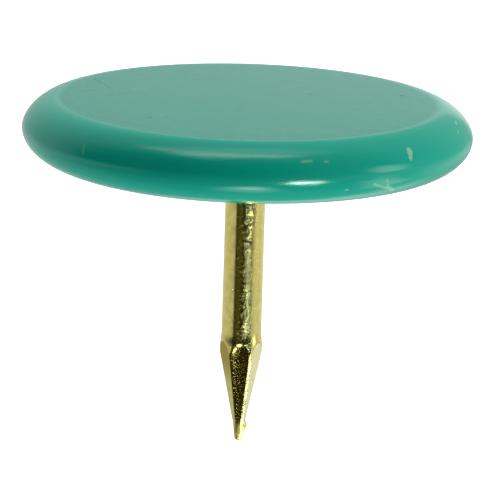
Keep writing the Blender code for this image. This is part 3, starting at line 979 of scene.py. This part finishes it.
# What the studio shows in reflections: a grey surround with these painted over it in turn. Each has an
# azimuth, an elevation, the half angles where it starts and ends fading out, and how bright it is.
SURROUND = 0.42
REFLECTED_PATCHES = {
    "screen behind": (180.0, 43.0, 66.0, 80.0, 0.42),
    "screen's foot": (180.0, 1.0, 7.0, 19.0, 1.60),
    "ceiling": (0.0, 90.0, 4.0, 26.0, 2.2),
    "dark room in front": (-44.0, 1.0, 44.0, 80.0, 0.0),
    "dark room above the camera": (39.0, 35.0, 19.0, 60.0, 0.0),
    "wall at the left": (-145.0, 0.0, 25.0, 58.0, 0.52),
    "wall at the right": (124.0, -26.0, 8.0, 22.0, 0.88),
    "table below": (0.0, -90.0, 35.0, 70.0, 0.22),
    "dark room below": (-32.0, -48.0, 24.0, 50.0, 0.03),
    "dark room at the right": (52.0, -46.0, 14.0, 32.0, 0.08),
    "gap above the lamp": (40.0, -2.0, 10.0, 24.0, 0.04),
    "lens hood": (-11.0, -22.0, 24.0, 32.0, 0.07),
    "low glow": (2.0, -72.0, 1.0, 14.0, 2.2),
    "low lamp at the right": (33.0, -33.2, 5.5, 10.5, 27.0),
    "low lamp's bulb": (30.0, -32.8, 1.5, 5.0, 78.0),
    "low lamp in front": (3.0, -62.5, 4.0, 9.5, 10.0),
}
# Long soft lights: azimuth and elevation of both ends, half width at both ends in degrees, how bright. Each
# is full up to this share of its half width.
STRIP_CORE = 0.2
REFLECTED_STRIPS = {
    "sill behind": ((-165.0, -13.0), (-136.0, -13.0), 14.0, 14.0, 0.66),
    "sill behind at the left": ((-136.0, -13.0), (-108.0, -13.0), 14.0, 13.0, 0.66),
    "sill at the left": ((-108.0, -13.0), (-80.0, -13.0), 13.0, 12.0, 0.66),
    "sill's near end": ((-80.0, -13.0), (-57.0, -13.0), 12.0, 11.0, 0.64),
    "sill at the right": ((54.0, -13.0), (92.0, -13.0), 10.0, 11.0, 0.57),
    "sill behind at the right": ((92.0, -13.0), (122.0, -13.0), 11.0, 12.0, 0.72),
    "sill's far end": ((122.0, -13.0), (150.0, -13.0), 12.0, 12.0, 0.80),
    "softbox overhead": ((-106.0, 64.0), (-66.0, 76.0), 6.0, 9.0, 2.8),
    "softbox's other half": ((-66.0, 76.0), (72.0, 79.0), 10.5, 4.5, 6.0),
    "window's far side": ((80.0, 8.0), (100.0, 11.0), 12.0, 8.0, 0.7),
    "window's foot": ((77.0, 4.0), (78.0, -13.0), 10.0, 8.0, 0.60),
    "upright card": ((79.0, -25.0), (80.0, -38.0), 8.0, 11.0, 1.6),
    "card at the right": ((80.0, -38.0), (110.0, -49.0), 12.0, 12.0, 2.2),
    "card behind": ((150.0, -44.0), (178.0, -41.0), 12.0, 12.0, 1.05),
    "window at the right": ((76.0, 13.0), (78.0, 1.0), 15.0, 13.0, 4.4),
}
# What lights the surfaces, in the same terms as the patches: white all round, brighter behind at both sides
# and from below, dim at the right and dark on the camera's side.
FILL_LIGHT = 1.25
LIGHTING_PATCHES = {
    "bright right": (140.0, 66.0, 20.0, 60.0, 2.15),
    "bright left": (-128.0, 20.0, 20.0, 52.0, 1.95),
    "dim right": (96.0, 0.0, 20.0, 50.0, 0.80),
    "bright floor": (0.0, -90.0, 60.0, 92.0, 1.50),
    "dark room": (-37.0, 22.0, 56.0, 66.0, 0.0),
}
# The dark opening where the camera stands shows warm in reflections.
WARM_SIDE, WARM_COLOUR = (-11.0, -18.0, 22.0, 36.0), (1.0, 0.92, 0.25, 1.0)


def studio_direction(azimuth, elevation):
    rise = math.radians(elevation)
    return point_round(azimuth, math.cos(rise), math.sin(rise))


def studio_patch(tree, direction, azimuth, elevation, inner, outer):
    """A mask that is 1 towards one place in the studio and fades out round it."""
    return towards(tree, direction, studio_direction(azimuth, elevation), inner, outer)


def studio_strip(tree, direction, start, end, start_width, end_width):
    """A mask that is 1 along the line between two directions and fades out beside it."""
    line = effect(tree, stroke, {
        "Place": direction, "From": studio_direction(*start), "To": studio_direction(*end),
        "Start Width": math.radians(start_width), "End Width": math.radians(end_width)})
    return smooth_step(tree, line["Distance"], 1.0, STRIP_CORE)


def make_studio():
    world = bpy.data.worlds.new("White studio")
    world.use_nodes = True
    tree = world.node_tree
    background = tree.nodes["Background"]
    direction = tree.nodes.new("ShaderNodeTexCoord").outputs["Generated"]
    shown = SURROUND
    for azimuth, elevation, inner, outer, brightness in REFLECTED_PATCHES.values():
        patch = studio_patch(tree, direction, azimuth, elevation, inner, outer)
        shown = mix_value(tree, patch, shown, brightness)
    for start, end, start_width, end_width, brightness in REFLECTED_STRIPS.values():
        strip = studio_strip(tree, direction, start, end, start_width, end_width)
        shown = mix_value(tree, strip, shown, brightness)
    lighting = FILL_LIGHT
    for azimuth, elevation, inner, outer, brightness in LIGHTING_PATCHES.values():
        patch = studio_patch(tree, direction, azimuth, elevation, inner, outer)
        lighting = mix_value(tree, patch, lighting, brightness)
    path = tree.nodes.new("ShaderNodeLightPath").outputs
    soft = mix_value(tree, path["Is Glossy Ray"], lighting, shown)
    straight = maths(tree, "MAXIMUM", path["Is Camera Ray"], path["Is Transmission Ray"])
    tree.links.new(mix_value(tree, straight, soft, 1.0), background.inputs["Strength"])
    warm = product(tree, path["Is Glossy Ray"], studio_patch(tree, direction, *WARM_SIDE))
    tree.links.new(mix_colour(tree, warm, WHITE, WARM_COLOUR), background.inputs["Color"])
    world.cycles.sampling_method = "NONE"
    bpy.context.scene.world = world


make_table()
make_studio()


# The camera stands in front and a little above, turned slightly on its own axis, with a long lens.

CAMERA_DISTANCE = 0.127
CAMERA_ELEVATION = 13.41
CAMERA_ROLL = 1.75
CAMERA_LENS = 322.8
CAMERA_TARGET = Vector((0.000175, 0.0, -0.002513))


def make_camera():
    data = bpy.data.cameras.new("camera")
    data.sensor_width = 36.0
    data.lens = CAMERA_LENS
    data.clip_start = 0.001
    data.clip_end = 10.0
    camera = placed("camera", data)
    elevation, roll = math.radians(CAMERA_ELEVATION), math.radians(CAMERA_ROLL)
    back = Vector((0.0, -math.cos(elevation), math.sin(elevation)))
    level = Vector((1.0, 0.0, 0.0))
    upright = back.cross(level)
    right = math.cos(roll) * level + math.sin(roll) * upright
    up = -math.sin(roll) * level + math.cos(roll) * upright
    turned = Matrix((right, up, back)).transposed().to_4x4()
    camera.matrix_world = Matrix.Translation(CAMERA_TARGET + back * CAMERA_DISTANCE) @ turned
    bpy.context.scene.camera = camera


make_camera()
bpy.context.scene.view_settings.view_transform = "Standard"
